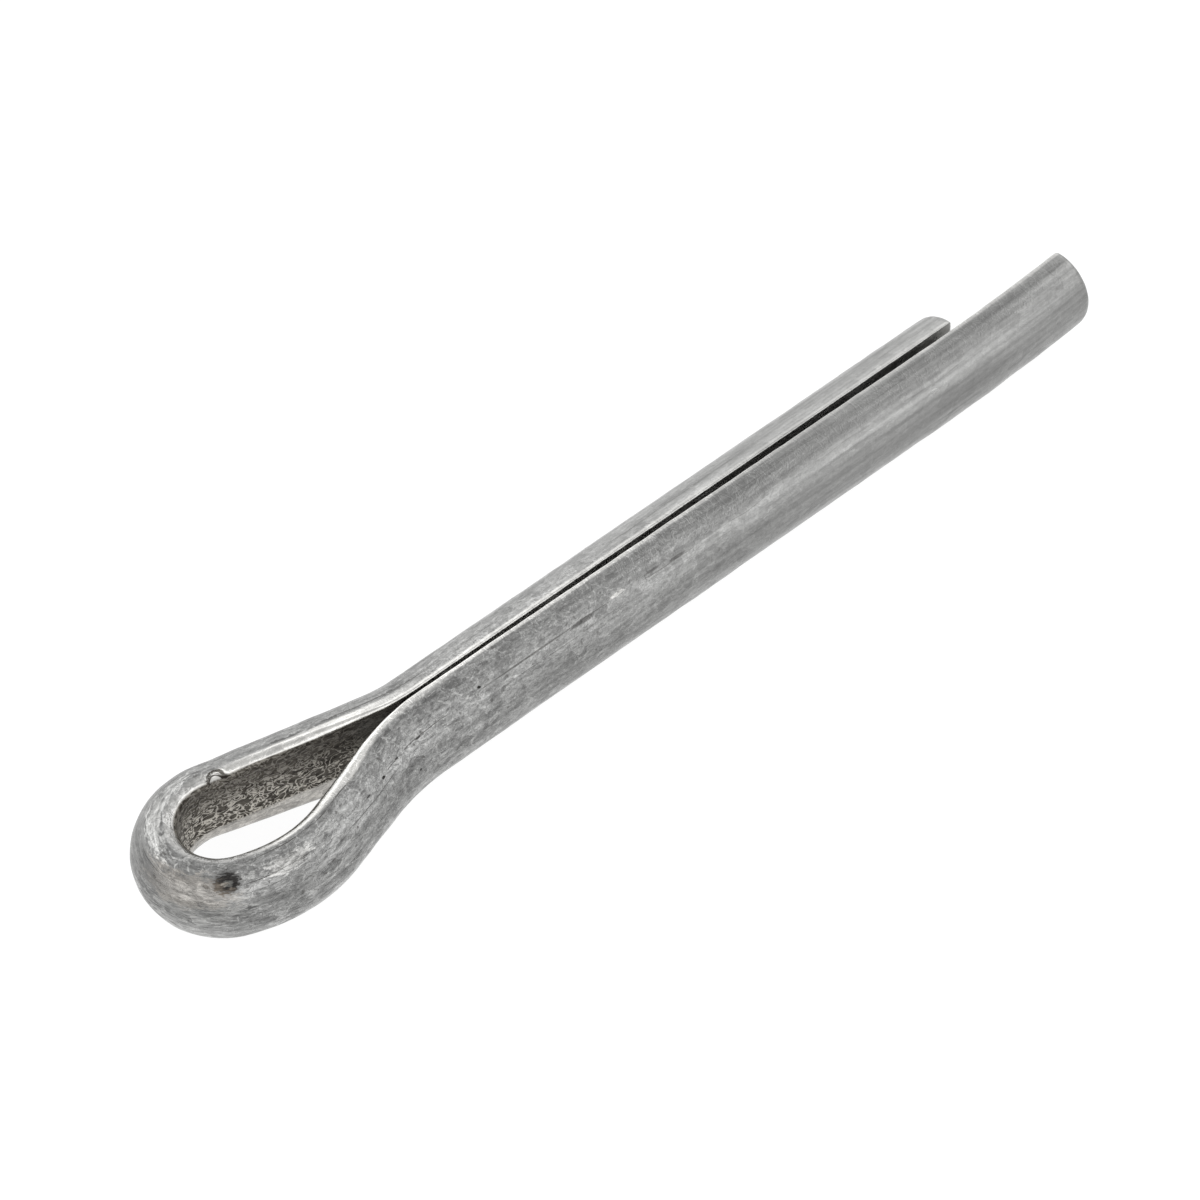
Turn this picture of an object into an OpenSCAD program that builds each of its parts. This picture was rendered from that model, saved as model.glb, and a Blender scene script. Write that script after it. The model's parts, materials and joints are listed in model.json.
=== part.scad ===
// Cotter pin: one length of half-round steel wire, folded back on itself.
// The two flats lie together and make a round shank, the fold stays open as an eye,
// and one leg reaches past the other so that a plier or a thumb can spread them.
// Millimetres. The pin lies on its side: +X runs along the shank to the tips, +Z is up,
// and +Y is the side of the shorter leg. The origin is on the shank's axis, where the
// eye ends and the slit starts.

/* [Wire] */
// Diameter of the round shank that the two legs make
shank_d = 3.7; // [3.4:0.1:4.6]
// Thickness of the half-round wire, from its flat to its back
wire_t = 1.75; // [1.5:0.01:1.8]
// Radius of the two rounded edges beside the flat
edge_r = 0.45; // [0.1:0.01:0.6]

/* [Legs] */
// Length of the shorter leg, from the start of the slit to its tip
short_leg_l = 26.3; // [12:0.1:80]
// How far the longer leg reaches past the shorter one
prong_l = 5.8; // [1:0.1:12]
// Width of the slit where it leaves the eye
slit_root_w = 0.12; // [0.05:0.01:0.4]
// Width of the slit at the tip of the shorter leg
slit_tip_w = 0.32; // [0.05:0.01:0.6]
// Bevel that the shears and the tumbling leave around each cut end
tip_bevel = 0.5; // [0.1:0.05:0.6]

/* [Eye] */
// Length of the opening, from the start of the slit to the inside of the nose
eye_l = 9.6; // [8:0.1:16]
// Inside radius of the nose
nose_r = 1.5; // [1.2:0.05:2.4]
// How far the nose sits off the shank's axis, towards the shorter leg
nose_shift = 0.3; // [-0.4:0.05:0.6]
// Inside radius of the fuller cheek, on the side of the longer leg
cheek_r = 4.4; // [3:0.1:6]
// Angle below the axis at which the nose passes over into that cheek
cheek_angle = 64; // [40:1:75]
// Bend radius of the neck on the shorter leg, along the flat
short_neck_r = 6.3; // [3:0.1:12]
// Bend radius of the neck on the longer leg, along the flat
long_neck_r = 10.3; // [3:0.1:12]

/* [Hidden] */
$fn = 96;
steel = [0.66, 0.66, 0.65];

// Half-round section: n counts from the shank's axis out to the wire's back
shank_r = shank_d / 2;
flat_n = shank_r - wire_t;
edge_n = flat_n + edge_r;
edge_z = sqrt(pow(shank_r - edge_r, 2) - pow(edge_n, 2));
// The edge rounds are drawn this much larger, so that their arcs cross their neighbours
// instead of only touching them
edge_swell = 1.005;
// Bending swells the wire: a bend's skin stands this far out from a straight run's,
// and a run's end is let into the bend that it meets
swell = 0.01;
bite = 0.08;
// Cutting shapes reach this far past what they cut
past = 1;

long_leg_l = short_leg_l + prong_l;
// Each leg leans out from the axis by this angle
splay = atan((slit_tip_w - slit_root_w) / 2 / short_leg_l);

// Directions are in degrees from +X, and a walk along the flat starts at the shorter leg
function right_of(heading) = [sin(heading), -cos(heading)];
function direction(v) = atan2(v[1], v[0]);
// Angle between the line that joins two circles' centres and the line that runs
// from one side of the first circle to the other side of the second one
function crossing(v, radii) = asin(radii / norm(v));
function crossing_l(v, radii) = sqrt(v * v - radii * radii);
// Largest bend that fits between a leg's flat and a round that stands off it
function widest_neck(run, centre_y, radius) =
  (run * run + centre_y * centre_y - radius * radius) / 2 / (radius + centre_y);
// The neck is a blend, so it never takes more than this share of the arm's room
neck_share = 0.95;

// Shorter side: leg, neck, arm, nose
short_heading = 180 + splay;
short_root = [0, slit_root_w / 2];
nose_c = [nose_r - eye_l, nose_shift];
short_room = widest_neck(eye_l - nose_r, nose_shift - slit_root_w / 2, nose_r);
short_bend_r = min(short_neck_r, neck_share * short_room);
short_neck_c = short_root + short_bend_r * right_of(short_heading);
short_arm = nose_c - short_neck_c;
short_arm_heading = 360 + direction(short_arm) - crossing(short_arm, short_bend_r + nose_r);
short_arm_l = crossing_l(short_arm, short_bend_r + nose_r);

// Longer side: cheek, arm, neck, leg
long_heading = 360 - splay;
long_root = [0, -slit_root_w / 2];
nose_end_heading = 270 + cheek_angle;
cheek_c = nose_c - (cheek_r - nose_r) * right_of(nose_end_heading);
long_room = widest_neck(cheek_c[0], -slit_root_w / 2 - cheek_c[1], cheek_r);
long_bend_r = min(long_neck_r, neck_share * long_room);
long_neck_c = long_root + long_bend_r * right_of(long_heading);
long_arm = long_neck_c - cheek_c;
long_arm_heading = 360 + direction(long_arm) + crossing(long_arm, long_bend_r + cheek_r);
long_arm_l = crossing_l(long_arm, long_bend_r + cheek_r);

// Turns of the walk
short_neck_turn = short_heading - short_arm_heading;
nose_turn = nose_end_heading - short_arm_heading;
cheek_turn = long_arm_heading - nose_end_heading;
long_neck_turn = long_arm_heading - long_heading;

// Section of the wire with its flat on the line x = 0 and its back towards +x,
// with its whole outline moved out by grow
module wire_section(grow) {
  edge = [edge_n, edge_z];
  outside = 2 * edge;
  translate([-flat_n, 0]) intersection() {
    circle(shank_r + grow);
    union() {
      polygon([
        [flat_n - grow, -edge_z], [edge_n, -edge_z], [outside[0], -outside[1]], [outside[1], -outside[1]],
        [outside[1], outside[1]], outside, edge, [flat_n - grow, edge_z]
      ]);
      for (side = [-1, 1])
        translate([edge_n, side * edge_z]) circle((edge_r + grow) * edge_swell);
    }
  }
}

// The modules below walk along the flat: each starts at the local origin, heads for +X with
// the wire's back on its right, and hands its end on to what follows it

// A straight run, let into its neighbours at both ends
module straight(length) {
  translate([-bite, 0, 0]) rotate([90, 0, 90])
    linear_extrude(length + 2 * bite) mirror([1, 0]) wire_section(0);
  translate([length, 0, 0]) children();
}

// A bend to the left, with the flat on its inside; it may start early, inside a fuller bend
module curl(radius, angle, grow, early = 0) {
  lead = early / radius * 180 / PI;
  translate([0, radius, 0]) rotate(-90 - lead)
    rotate_extrude(angle = angle + lead) translate([radius, 0]) wire_section(grow);
  round_to(radius, angle) children();
}

// A bend to the right, with the flat on its outside
module neck(radius, angle) {
  translate([0, -radius, 0]) mirror([0, 1, 0]) rotate(-90)
    rotate_extrude(angle = angle) translate([radius, 0]) mirror([1, 0]) wire_section(swell);
  round_to(-radius, -angle) children();
}

// The frame at the end of a bend, where a right-hand bend has a negative radius and angle
module round_to(radius, angle) {
  translate([0, radius, 0]) rotate(angle) translate([0, -radius, 0]) children();
}

// A leg, let into its neck, with a bevelled tip at the far end
module leg(length) {
  reach = shank_r + past;
  intersection() {
    straight(length + past);
    translate([0, flat_n, 0]) rotate([0, 90, 0]) rotate_extrude() polygon([
      [0, -past], [reach, -past], [reach, length - tip_bevel - past], [shank_r - tip_bevel, length], [0, length]
    ]);
  }
}

module cotter_pin() {
  color(steel)
    translate(short_root) rotate(short_heading) {
      mirror([1, 0, 0]) leg(short_leg_l / cos(splay));
      neck(short_bend_r, short_neck_turn)
        straight(short_arm_l)
          curl(nose_r, nose_turn, 2 * swell)
            curl(cheek_r, cheek_turn, swell, bite)
              straight(long_arm_l)
                neck(long_bend_r, long_neck_turn)
                  leg(long_leg_l / cos(splay));
    }
}

cotter_pin();
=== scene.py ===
# %% [markdown]
# # A cotter pin in tumbled steel
# A cotter pin is one length of half-round wire. It is folded so that its two flats meet and
# make a round shank, and the fold stays open as an eye. This lesson makes it in the order of
# the workshop: draw a straight wire, cut its ends, fold it, tumble it, and look at the metal.
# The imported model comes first, because it says how large the pin is and where it lies.

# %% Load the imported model
import json
import math

import bpy
from mathutils import Matrix, Vector


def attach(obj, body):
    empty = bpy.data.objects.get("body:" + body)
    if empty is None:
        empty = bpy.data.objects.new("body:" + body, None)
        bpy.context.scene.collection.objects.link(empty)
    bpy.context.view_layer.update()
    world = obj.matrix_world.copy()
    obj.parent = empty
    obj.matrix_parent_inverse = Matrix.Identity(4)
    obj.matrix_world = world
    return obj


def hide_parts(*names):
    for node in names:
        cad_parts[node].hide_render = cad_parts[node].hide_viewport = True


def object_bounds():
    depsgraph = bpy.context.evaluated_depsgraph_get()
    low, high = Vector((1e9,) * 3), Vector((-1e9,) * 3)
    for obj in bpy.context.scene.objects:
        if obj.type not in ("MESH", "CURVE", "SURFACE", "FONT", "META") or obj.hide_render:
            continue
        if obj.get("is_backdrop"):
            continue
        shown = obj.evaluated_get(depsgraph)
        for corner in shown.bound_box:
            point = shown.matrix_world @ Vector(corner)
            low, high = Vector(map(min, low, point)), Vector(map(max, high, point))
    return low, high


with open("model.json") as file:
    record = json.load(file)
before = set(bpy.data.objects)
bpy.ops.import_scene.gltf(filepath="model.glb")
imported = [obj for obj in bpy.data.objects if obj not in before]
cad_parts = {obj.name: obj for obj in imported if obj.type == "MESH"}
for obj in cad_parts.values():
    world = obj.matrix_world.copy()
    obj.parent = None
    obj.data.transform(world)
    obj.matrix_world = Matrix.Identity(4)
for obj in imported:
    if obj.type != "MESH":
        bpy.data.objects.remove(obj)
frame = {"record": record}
cad_low, cad_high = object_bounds()
MM = 0.001
mounts = {mount["name"]: mount for mount in frame["record"]["mounts"]}
print("packed box in mm:", [round(side / MM, 2) for side in cad_high - cad_low])

# %% [markdown]
# ## The camera
# The photograph looks down on the eye from one side, with a long lens from close by. A camera
# could be aimed with a constraint, but its direction is known in degrees here, so its three
# axes are worked out and written to its matrix. The picture's middle lies off the origin, and
# the camera is moved sideways by that much instead of using lens shift.

# %% Place the camera
VIEW_AZIMUTH = math.radians(-39.5)
VIEW_ELEVATION = math.radians(48.6)
VIEW_ROLL = math.radians(-2.8)
VIEW_DISTANCE = 103.4 * MM
VIEW_OFFSET = (6.17 * MM, 4.27 * MM)
LENS_MM = 90

bpy.ops.object.select_all(action="DESELECT")
bpy.ops.object.camera_add()
camera = bpy.context.object
camera.name = "camera"
camera.data.lens = LENS_MM
camera.data.clip_start = MM
back = Vector((
    math.sin(VIEW_AZIMUTH) * math.cos(VIEW_ELEVATION),
    -math.cos(VIEW_AZIMUTH) * math.cos(VIEW_ELEVATION),
    math.sin(VIEW_ELEVATION),
))
level = Vector((math.cos(VIEW_AZIMUTH), math.sin(VIEW_AZIMUTH), 0))
turned = Matrix.Rotation(VIEW_ROLL, 3, back)
side = turned @ level
up = turned @ back.cross(level)
place = VIEW_OFFSET[0] * side + VIEW_OFFSET[1] * up + VIEW_DISTANCE * back
camera.matrix_world = Matrix.Translation(place) @ Matrix((side, up, back)).transposed().to_4x4()
bpy.context.scene.camera = camera
print("camera at", [round(c / MM, 1) for c in camera.location], "mm")

# %% [markdown]
# ## Helpers for colours and nodes
# Colours are picked as sRGB hex values, as on a screen, and a shader wants linear light, so one
# function turns the one into the other. A second one adds a node, sets it and links it.

# %% Define the two helpers


def linear(hex_colour):
    """An sRGB hex colour as linear RGBA."""
    parts = [int(hex_colour[i:i + 2], 16) / 255 for i in (1, 3, 5)]
    return [c / 12.92 if c <= 0.04045 else ((c + 0.055) / 1.055) ** 2.4 for c in parts] + [1.0]


def add_node(tree, kind, inputs=None, **settings):
    """Adds a node with its settings and links, and gives its first output that is in use."""
    node = tree.nodes.new("ShaderNode" + kind)
    for name, value in settings.items():
        setattr(node, name, value)
    for name, value in (inputs or {}).items():
        if isinstance(value, bpy.types.NodeSocket):
            tree.links.new(value, node.inputs[name])
        else:
            node.inputs[name].default_value = value
    return next(output for output in node.outputs if output.enabled)


print("a middle grey is", [round(c, 3) for c in linear("#808080")[:3]])

# %% [markdown]
# ## Floor
# Small hardware is photographed on a white, lit table. A plain plane would do with a white
# colour and strong lamps. Here the table glows by itself, which keeps the shadow under the pin
# as weak as it is in the photograph.

# %% Make the floor
FLOOR_SIZE = 2.0
FLOOR_GLOW = 0.93
TABLE_GREY = "#606060"
TABLE_ROUGHNESS = 0.9

bpy.ops.object.select_all(action="DESELECT")
bpy.ops.mesh.primitive_plane_add(size=FLOOR_SIZE, location=(0, 0, cad_low.z))
floor = bpy.context.object
floor.name = "floor"
floor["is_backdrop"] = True

# A matt table, lit from inside: it gives the eye an even white
table = bpy.data.materials.new("white_table")
table.use_nodes = True
table_shader = table.node_tree.nodes["Principled BSDF"]
table_shader.inputs["Base Color"].default_value = linear(TABLE_GREY)
table_shader.inputs["Roughness"].default_value = TABLE_ROUGHNESS
table_shader.inputs["Emission Color"].default_value = linear("#FFFFFF")
table_shader.inputs["Emission Strength"].default_value = FLOOR_GLOW
floor.data.materials.append(table)
print("floor at", round(cad_low.z / MM, 3), "mm")

# %% [markdown]
# ## Light
# Metal shows its surroundings, so white walls round the table matter more than any lamp. They
# are brightest at the height of a lamp, and the ceiling is darker. The world carries that, with
# a colour ramp over the height of each direction.

# %% Make the walls of light
WALL_GLOW = 1.8
# Elevation in degrees, and the share of the wall's glow there
WALL_SHARES = [(0, 0.55), (12, 0.65), (23, 0.95), (39, 1.0), (54, 0.52), (90, 0.4)]

world = bpy.data.worlds.new("walls_of_light")
bpy.context.scene.world = world
world.use_nodes = True
walls = world.node_tree
direction = add_node(walls, "TexCoord").node.outputs["Generated"]
rise = add_node(walls, "SeparateXYZ", {"Vector": direction}).node.outputs["Z"]
shares = add_node(walls, "ValToRGB", {"Fac": rise}).node
shares.color_ramp.interpolation = "EASE"
for elevation, share in WALL_SHARES[1:-1]:
    shares.color_ramp.elements.new(math.sin(math.radians(elevation)))
for stop, (elevation, share) in zip(shares.color_ramp.elements, WALL_SHARES):
    stop.color = (share, share, share, 1)
background = walls.nodes["Background"]
walls.links.new(shares.outputs["Color"], background.inputs["Color"])
background.inputs["Strength"].default_value = WALL_GLOW
bpy.context.scene.view_settings.view_transform = "Standard"
print("walls of light with", len(WALL_SHARES), "heights")

# %% [markdown]
# ## The wire's section
# The wire is drawn through a half-round die: a flat, a round back and two rounded edges. A
# half disc with bevelled corners would do, but the edges and the back are tangent arcs, so the
# outline is walked instead. A single point is extruded up the flat, and spun about each arc's
# centre in turn. Spin turns clockwise, so the helper changes the sign. The edges are sharper on
# the legs than in the eye, where the bending tool has pressed them round, the lower one most.

# %% Define the steps of a walk
X_AXIS = (1, 0, 0)
Z_AXIS = (0, 0, 1)


def start_point(name, place):
    """A new mesh object with one selected vertex, left in edit mode; place is in mm."""
    bpy.ops.object.select_all(action="DESELECT")
    bpy.ops.mesh.primitive_plane_add(size=MM)
    bpy.context.object.name = name
    bpy.ops.object.mode_set(mode="EDIT")
    bpy.ops.mesh.select_mode(type="VERT")
    bpy.ops.mesh.merge(type="CENTER")
    bpy.ops.transform.translate(value=[c * MM for c in place])
    return bpy.context.object


def go(steps, length, heading):
    """Extrudes what is selected along a straight, in even steps; mm."""
    bpy.ops.mesh.extrude_repeat(steps=steps, offset=[c * length / steps * MM for c in heading])


def turn(steps, angle, centre, axis):
    """Spins what is selected about a centre in mm, anticlockwise round the axis."""
    bpy.ops.mesh.spin(steps=steps, angle=-angle, center=[c * MM for c in centre], axis=axis)


print("walks start from one point, in mm, with 1 mm =", MM)

# %% Define the walk round the section
SHANK_R = mounts["shank"]["dims"]["r_mm"]
WIRE_T = 1.75
# Radii of the upper and the lower edge
EYE_EDGES = (0.45, 0.65)
LEG_EDGES = (0.06, 0.06)
FLAT_STEPS = 32
EDGE_STEPS = 12
BACK_STEPS = 46
# Points that are closer than this lie in the same place; mm
NEAR = 0.001

flat_n = SHANK_R - WIRE_T


def edge_height(edge_r):
    """How far an edge's arc has its centre from the middle of the flat; mm."""
    return math.sqrt((SHANK_R - edge_r) ** 2 - (flat_n + edge_r) ** 2)


def section(name, x, edges):
    """The outline of the wire at a place along it, flat on y = 0 and back towards -y; mm."""
    upper_r, lower_r = edges
    upper_z, lower_z = (edge_height(edge_r) for edge_r in edges)
    upper_angle = math.atan2(upper_z, flat_n + upper_r)
    lower_angle = math.atan2(lower_z, flat_n + lower_r)
    ring = start_point(name, (x, 0, -lower_z))
    go(FLAT_STEPS, upper_z + lower_z, Z_AXIS)
    turn(EDGE_STEPS, math.pi - upper_angle, (x, -upper_r, upper_z), X_AXIS)
    turn(BACK_STEPS, upper_angle + lower_angle, (x, flat_n, 0), X_AXIS)
    turn(EDGE_STEPS, math.pi - lower_angle, (x, -lower_r, -lower_z), X_AXIS)
    bpy.ops.mesh.select_all(action="SELECT")
    bpy.ops.mesh.remove_doubles(threshold=NEAR * MM)
    return ring


print("the eye's flat is", round(sum(edge_height(edge_r) for edge_r in EYE_EDGES), 2), "mm high")

# %% [markdown]
# ## The fold, worked out
# The wire runs up the shorter leg, swings out at the neck, along an arm, round a tight nose and
# a fuller cheek, and back to the longer leg. All of these touch smoothly, so the straight parts
# are the lines that two circles have in common. Headings are angles from +X, and the wire's
# back is always on the right-hand side of the walk.

# %% Work out the shorter side, from its leg to the nose
SHORT_LEG_L = 26.3
PRONG_L = 5.8
SLIT_ROOT_W = 0.12
SLIT_TIP_W = 0.32
NOSE_R = 1.5
SHORT_NECK_R = 6.3


def right_of(heading):
    """The direction to the right of a heading."""
    return Vector((math.sin(heading), -math.cos(heading)))


def heading_of(v):
    """The heading of a direction."""
    return math.atan2(v.y, v.x)


nose_c = Vector(mounts["eye"]["pos_m"][:2]) / MM
splay = math.atan((SLIT_TIP_W - SLIT_ROOT_W) / 2 / SHORT_LEG_L)
short_root = Vector((0, SLIT_ROOT_W / 2))
short_heading = math.pi + splay
short_neck_c = short_root + SHORT_NECK_R * right_of(short_heading)
short_reach = nose_c - short_neck_c
short_radii = SHORT_NECK_R + NOSE_R
short_arm_heading = math.tau + heading_of(short_reach) - math.asin(short_radii / short_reach.length)
short_arm_l = math.sqrt(short_reach.length_squared - short_radii ** 2)
print("shorter arm of", round(short_arm_l, 2), "mm, heading", round(short_arm_heading, 3), "radians")

# %% Work out the longer side, from the cheek to its leg
CHEEK_R = 4.4
CHEEK_ANGLE = math.radians(64)
LONG_NECK_R = 10.3

cheek_heading = 1.5 * math.pi + CHEEK_ANGLE
cheek_c = nose_c - (CHEEK_R - NOSE_R) * right_of(cheek_heading)
long_heading = math.tau - splay
long_neck_c = LONG_NECK_R * right_of(long_heading) - short_root
long_reach = long_neck_c - cheek_c
long_radii = LONG_NECK_R + CHEEK_R
long_arm_heading = math.tau + heading_of(long_reach) + math.asin(long_radii / long_reach.length)
long_arm_l = math.sqrt(long_reach.length_squared - long_radii ** 2)
print("longer arm of", round(long_arm_l, 2), "mm, heading", round(long_arm_heading, 3), "radians")

# %% List the stretches of the wire
# How far apart the rings of the mesh are
LEG_SPACING = 0.14
ARM_SPACING = 0.085
NOSE_SPACING = 0.05
CHEEK_SPACING = 0.075

short_leg_l = SHORT_LEG_L / math.cos(splay)
long_leg_l = (SHORT_LEG_L + PRONG_L) / math.cos(splay)
short_neck_turn = short_arm_heading - short_heading
nose_turn = cheek_heading - short_arm_heading
cheek_turn = long_arm_heading - cheek_heading
long_neck_turn = long_heading - long_arm_heading
# Each stretch: its length along the flat, and the spacing of the rings there
stretches = [
    (short_leg_l, LEG_SPACING),
    (-short_neck_turn * SHORT_NECK_R, ARM_SPACING),
    (short_arm_l, ARM_SPACING),
    (nose_turn * NOSE_R, NOSE_SPACING),
    (cheek_turn * CHEEK_R, CHEEK_SPACING),
    (long_arm_l, ARM_SPACING),
    (-long_neck_turn * LONG_NECK_R, ARM_SPACING),
    (long_leg_l, LEG_SPACING),
]
wire_l = sum(length for length, spacing in stretches)
print("wire of", round(wire_l, 2), "mm:", [round(length, 2) for length, spacing in stretches])

# %% [markdown]
# ## The straight wire
# A section is extruded along X, with closer rings where the wire will be bent. The eye has its
# own section, so three lengths are drawn, joined into one mesh and bridged. Extruding once for
# each stretch and then subdividing it is much quicker than adding ring after ring. Operators
# act on what is selected, so two helpers select points and edges by their place.

# %% Define how to select


def choose(piece, test):
    """Selects the vertices whose place in mm passes the test, and goes to edit mode."""
    bpy.ops.object.select_all(action="DESELECT")
    piece.select_set(True)
    bpy.context.view_layer.objects.active = piece
    bpy.ops.object.mode_set(mode="EDIT")
    bpy.ops.mesh.select_mode(type="VERT")
    bpy.ops.mesh.select_all(action="DESELECT")
    bpy.ops.object.mode_set(mode="OBJECT")
    chosen = [test(vertex.co / MM) for vertex in piece.data.vertices]
    piece.data.vertices.foreach_set("select", chosen)
    bpy.ops.object.mode_set(mode="EDIT")
    return sum(chosen)


def choose_edges(piece, test):
    """Selects the edges whose two ends in mm pass the test, and goes to edit mode."""
    choose(piece, lambda p: False)
    bpy.ops.mesh.select_mode(type="EDGE")
    bpy.ops.object.mode_set(mode="OBJECT")
    points = [vertex.co / MM for vertex in piece.data.vertices]
    chosen = [test(*(points[i] for i in edge.vertices)) for edge in piece.data.edges]
    piece.data.edges.foreach_set("select", chosen)
    bpy.ops.object.mode_set(mode="EDIT")


print("points closer than", NEAR, "mm count as one place")

# %% Plan the stations along the wire
END_R = 0.3
LONGEST_PIECE = 8
# The edges turn from sharp to round from here to the nose, and from the cheek to here
SHORT_BLEND_FROM = 27.0
LONG_BLEND_TO = 47.0

stretch_ends = [sum(length for length, spacing in stretches[:i + 1]) for i in range(len(stretches))]
short_blend = (SHORT_BLEND_FROM, stretch_ends[2])
long_blend = (stretch_ends[4], LONG_BLEND_TO)
blends = [short_blend, long_blend]
borders = sorted({END_R, *stretch_ends[:-1], *short_blend, *long_blend, wire_l - END_R})
stations = list(blends)
for start, stop in zip(borders, borders[1:]):
    if not any(first <= start and stop <= last for first, last in blends):
        pieces = math.ceil((stop - start) / LONGEST_PIECE)
        cuts = [start + (stop - start) * i / pieces for i in range(pieces + 1)]
        stations += zip(cuts, cuts[1:])
print(len(stations), "stations from", END_R, "to", round(wire_l - END_R, 2), "mm")

# %% Draw the three lengths
lengths = []
for name, edges, start, stop in (
    ("short_leg", LEG_EDGES, END_R, short_blend[0]),
    ("eye", EYE_EDGES, short_blend[1], long_blend[0]),
    ("long_leg", LEG_EDGES, long_blend[1], wire_l - END_R),
):
    lengths.append(section(name, start, edges))
    for first, last in stations:
        if start <= first and last <= stop:
            ahead = ((last - first) * MM, 0, 0)
            bpy.ops.mesh.extrude_region_move(TRANSFORM_OT_translate={"value": ahead})
    bpy.ops.object.mode_set(mode="OBJECT")
print("drawn:", [length.name for length in lengths])

# %% Join the lengths and bridge them
bpy.ops.object.select_all(action="DESELECT")
for length in lengths:
    length.select_set(True)
wire = lengths[0]
bpy.context.view_layer.objects.active = wire
bpy.ops.object.join()
for blend in blends:
    choose(wire, lambda p: min(abs(p.x - end) for end in blend) < NEAR)
    bpy.ops.mesh.bridge_edge_loops()
    bpy.ops.object.mode_set(mode="OBJECT")
print("wire of", len(wire.data.polygons), "long faces")

# %% Subdivide each stretch
for start, stop in stations:
    middle = (start + stop) / 2
    spacing = next(gap for (length, gap), end in zip(stretches, stretch_ends) if middle < end)
    cuts = round((stop - start) / spacing) - 1
    if cuts > 0:
        choose_edges(wire, lambda p, q: min(p.x, q.x) < middle < max(p.x, q.x))
        bpy.ops.mesh.subdivide(number_cuts=cuts)
        bpy.ops.object.mode_set(mode="OBJECT")
print("wire of", len(wire.data.polygons), "faces")

# %% [markdown]
# The shears leave two flat ends with a burr that the barrel wears round. A bevel of the rim
# would cross itself at the sharp edges of the legs, so the end is drawn in instead, ring by
# ring along a quarter circle. A few more rings inside hold some texture.

# %% Round and close the ends
END_STEPS = 6
# Share of the section that the rounding takes away, and the shares that the inner rings keep
END_DRAWN = 0.16
END_RINGS = (0.7, 0.5, 0.3, 0.12)

for end, outward in ((END_R, -1), (wire_l - END_R, 1)):
    end_middle = Vector((end, -WIRE_T / 2, 0)) * MM
    choose(wire, lambda p: abs(p.x - end) < NEAR)
    rings = []
    for step in range(END_STEPS):
        start_angle, stop_angle = (math.pi / 2 * i / END_STEPS for i in (step, step + 1))
        ahead = END_R * (math.sin(stop_angle) - math.sin(start_angle)) * outward
        rings.append((ahead, 1 - END_DRAWN * (1 - math.cos(stop_angle))))
    rings += [(0, share) for share in END_RINGS]
    last_share = 1.0
    for ahead, share in rings:
        bpy.ops.mesh.extrude_region_move(TRANSFORM_OT_translate={"value": (ahead * MM, 0, 0)})
        shrink = share / last_share
        bpy.ops.transform.resize(value=(1, shrink, shrink), center_override=end_middle)
        last_share = share
    bpy.ops.mesh.edge_face_add()
    bpy.ops.mesh.poke()
    bpy.ops.object.mode_set(mode="OBJECT")
choose(wire, lambda p: True)
bpy.ops.mesh.normals_make_consistent(inside=False)
bpy.ops.object.mode_set(mode="OBJECT")
print("closed wire of", len(wire.data.polygons), "faces")

# %% [markdown]
# The tumbling barrel polishes what it can reach. In the eye, the middle of the flat stays as the
# die left it, rough and a little lower than the strip along its edge.

# %% Sink the middle of the eye's flat
SUNK_DEPTH = 0.04
# From which height to which the flat is sunk, and between which places along the wire
SUNK_FROM = -0.76
SUNK_MARGIN = 0.04
SUNK_TO = edge_height(EYE_EDGES[0]) - SUNK_MARGIN
SUNK_REACH = (27.0, 47.6)


def on_sunk_flat(p, depth):
    """Whether a place on the straight wire, in mm, is in the eye's flat or this far behind it."""
    return p[1] > -depth and SUNK_FROM < p[2] < SUNK_TO and SUNK_REACH[0] < p[0] < SUNK_REACH[1]


count = choose(wire, lambda p: on_sunk_flat(p, NEAR))
bpy.ops.transform.translate(value=(0, -SUNK_DEPTH * MM, 0))
bpy.ops.object.mode_set(mode="OBJECT")
print("sunk", count, "points by", SUNK_DEPTH, "mm")

# %% [markdown]
# ## Marks of the drawing die
# While the wire is straight, every point knows how far along the wire it lies. That is kept in
# an attribute, in mm, so that the metal's patterns can follow the wire round the bends.

# %% Keep the wire's own coordinates
# The flat's points down to this depth are put in a group, which is made rough later; mm
ROUGH_DEPTH = 0.06

places = [tuple(vertex.co / MM) for vertex in wire.data.vertices]
own = wire.data.attributes.new("wire", "FLOAT_VECTOR", "POINT")
own.data.foreach_set("vector", [c for place in places for c in place])
rough = wire.vertex_groups.new(name="rough_flat")
rough.add([i for i, p in enumerate(places) if on_sunk_flat(p, ROUGH_DEPTH)], 1.0, "REPLACE")
print("kept the places of", len(places), "points")

# %% [markdown]
# The die also leaves shallow lines along the wire, and the sunk flat is grainy. Sculpting would
# take long, so a Displace modifier with a cloud texture makes them. The texture takes its scale
# from an empty, whose three sizes are the size of one mark in mm.

# %% Press the marks in


def wear(piece, name, mark_size, depth, detail, group=""):
    """Moves the skin in and out by clouds of that size, in all or in a group; mm."""
    bpy.ops.object.select_all(action="DESELECT")
    bpy.ops.object.empty_add()
    gauge = bpy.context.object
    gauge.scale = [size * MM for size in mark_size]
    texture = bpy.data.textures.new(name, "CLOUDS")
    texture.noise_scale = 1.0
    texture.noise_depth = detail
    modifier = piece.modifiers.new(name, "DISPLACE")
    modifier.texture = texture
    modifier.texture_coords = "OBJECT"
    modifier.texture_coords_object = gauge
    modifier.strength = depth * MM
    modifier.mid_level = 0.5
    modifier.vertex_group = group
    bpy.context.view_layer.update()
    bpy.context.view_layer.objects.active = piece
    bpy.ops.object.modifier_apply(modifier=name)
    bpy.data.objects.remove(gauge)
    bpy.data.textures.remove(texture)
    print(name, "pressed", depth, "mm deep")


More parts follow.
